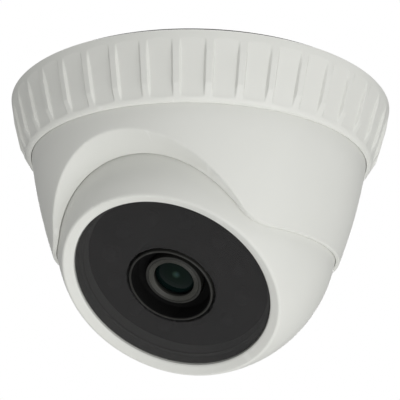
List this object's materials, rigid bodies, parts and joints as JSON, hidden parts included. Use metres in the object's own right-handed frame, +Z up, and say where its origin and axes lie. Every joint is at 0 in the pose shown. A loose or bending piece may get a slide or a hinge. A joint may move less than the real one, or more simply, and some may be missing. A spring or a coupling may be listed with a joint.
{
  "type": "dome cctv camera",
  "caption": "Ceiling dome camera with a fluted locking ring, a turning housing and a tilting eyeball behind a round smoked window.",
  "frame": {"origin": "centre of the flat face of the base plate that lies against the ceiling", "axes": "+Z up into the ceiling, so the camera hangs in -Z; at rest the lens looks towards -Y, 52 degrees below the horizontal; +X is to the right of someone who faces the lens"},
  "size_m": [0.0938, 0.0938, 0.0652],
  "materials": {
    "white_plastic": "satin moulded ABS",
    "black_plastic": "satin black moulding",
    "dark_plastic": "satin dark grey moulding",
    "smoked_window": "polished infrared-pass acrylic",
    "foam": "closed-cell foam",
    "rubber": "matt rubber",
    "board": "solder-masked circuit board",
    "black_board": "black solder-masked circuit board",
    "glass": "coated optical glass",
    "led": "clear smoked epoxy",
    "steel": "zinc-plated steel",
    "brass": "machined brass",
    "chip": "moulded black package"
  },
  "bodies": {
    "base": {"base_plate": "white_plastic", "base_gasket": "foam", "cable_grommet": "rubber", "pan_friction_ring": "rubber"},
    "ring": {"locking_ring": "white_plastic"},
    "dome": {"dome_housing": "white_plastic", "eyeball_retainer": "black_plastic", "retainer_screw_1": "steel", "retainer_screw_2": "steel", "retainer_screw_3": "steel"},
    "eyeball": {"eyeball_front_shell": "white_plastic", "eyeball_rear_cover": "white_plastic", "cover_screw_1": "steel", "cover_screw_2": "steel", "cover_screw_3": "steel", "pivot_pin_left": "steel", "pivot_pin_right": "steel", "front_window": "smoked_window", "window_seal": "rubber", "lens_shroud": "dark_plastic", "led_board": "black_board", "ir_led_1": "led", "ir_led_2": "led", "ir_led_3": "led", "ir_led_4": "led", "ir_led_5": "led", "ir_led_6": "led", "ir_led_7": "led", "ir_led_8": "led", "ir_led_9": "led", "ir_led_10": "led", "ir_led_11": "led", "light_sensor": "led", "board_screw_1": "steel", "board_screw_2": "steel", "board_screw_3": "steel", "lens_holder": "black_plastic", "lens_lock_nut": "brass", "filter_actuator": "chip", "sensor_board": "board", "board_standoff_1": "brass", "board_standoff_2": "brass", "board_standoff_3": "brass", "board_standoff_4": "brass", "standoff_screw_1": "steel", "standoff_screw_2": "steel", "standoff_screw_3": "steel", "standoff_screw_4": "steel", "image_sensor": "chip", "board_connector": "white_plastic"},
    "lens": {"lens_barrel": "black_plastic", "lens_retaining_ring": "dark_plastic", "lens_front_glass": "glass", "lens_rear_glass": "glass"},
    "filter": {"filter_frame": "black_plastic", "filter_glass_day": "glass", "filter_glass_night": "glass"}
  },
  "joints": [
    {"name": "ring_twist", "type": "hinge", "parent": "base", "child": "ring", "pos_m": [0, 0, -0.008], "axis": [0, 0, -1], "range_deg": [0, 30]},
    {"name": "pan", "type": "hinge", "parent": "base", "child": "dome", "pos_m": [0, 0, -0.032], "axis": [0, 0, 1], "range_deg": [-175, 175]},
    {"name": "tilt", "type": "hinge", "parent": "dome", "child": "eyeball", "pos_m": [0, 0, -0.0325], "axis": [1, 0, 0], "range_deg": [-10, 31]},
    {"name": "lens_focus", "type": "hinge", "parent": "eyeball", "child": "lens", "pos_m": [0, -0.00614, -0.0404], "axis": [0, -0.6136, -0.7896], "range_deg": [-180, 180]},
    {"name": "filter_slide", "type": "slide", "parent": "eyeball", "child": "filter", "axis": [-1, 0, 0], "range_m": [0, 0.007]}
  ]
}
